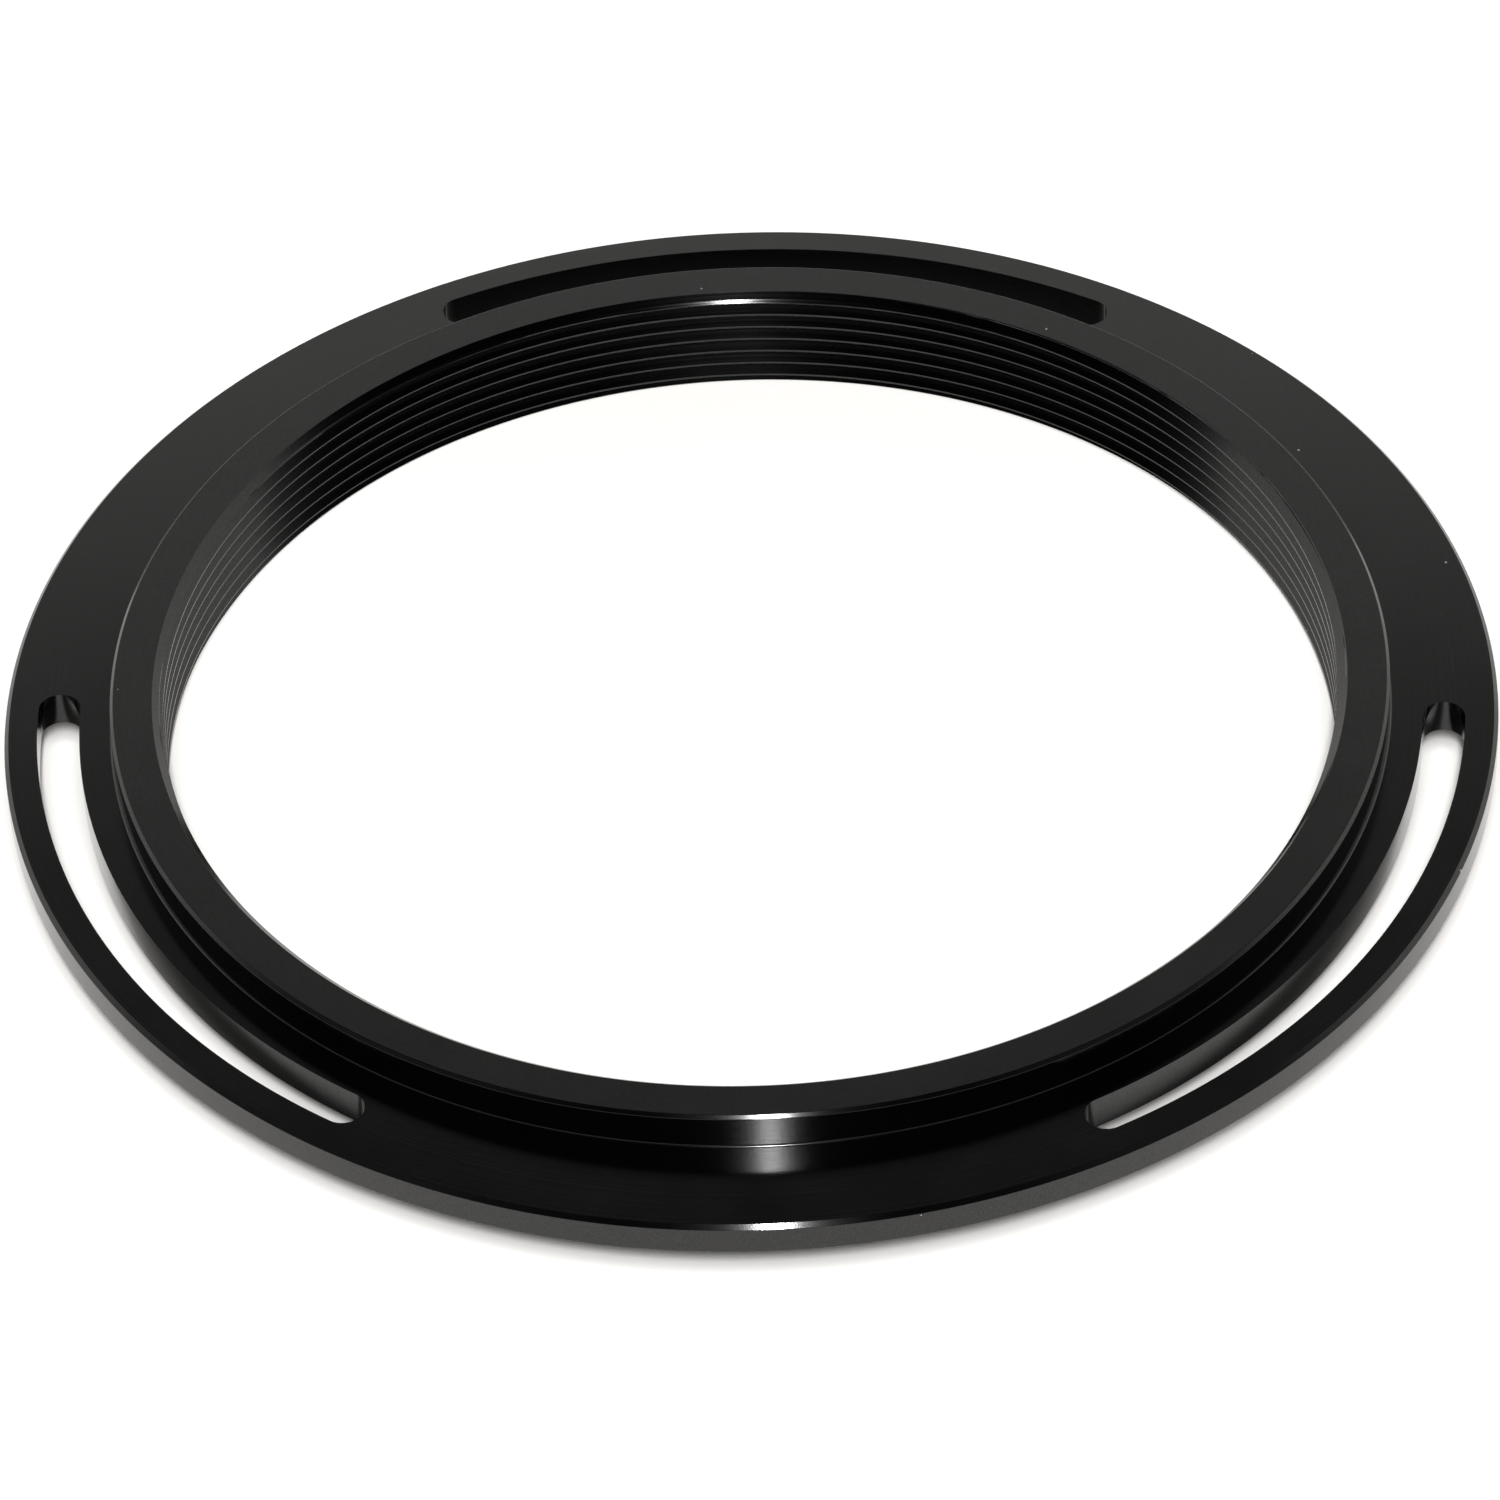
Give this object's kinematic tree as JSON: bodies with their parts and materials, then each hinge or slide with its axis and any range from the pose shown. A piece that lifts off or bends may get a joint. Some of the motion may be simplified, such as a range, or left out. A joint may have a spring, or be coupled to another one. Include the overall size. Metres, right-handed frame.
{
  "type": "lens hood",
  "caption": "Low black anodised lens hood ring: a threaded sleeve with a raised collar carries a flat flange with arc-shaped vent slots.",
  "frame": {"origin": "centre of the sleeve's lower end face, where the ring stands on a table", "axes": "+Z along the optical axis to the front of the hood, +Y through the middle of one vent slot"},
  "size_m": [0.069, 0.069, 0.0055],
  "materials": {
    "black_anodised_sleeve": "satin black anodised, fine turned grain",
    "black_anodised_flange": "satin black anodised, fine bead-blasted grain"
  },
  "bodies": {
    "root": {"threaded_sleeve": "black_anodised_sleeve", "slotted_flange": "black_anodised_flange"}
  },
  "joints": []
}
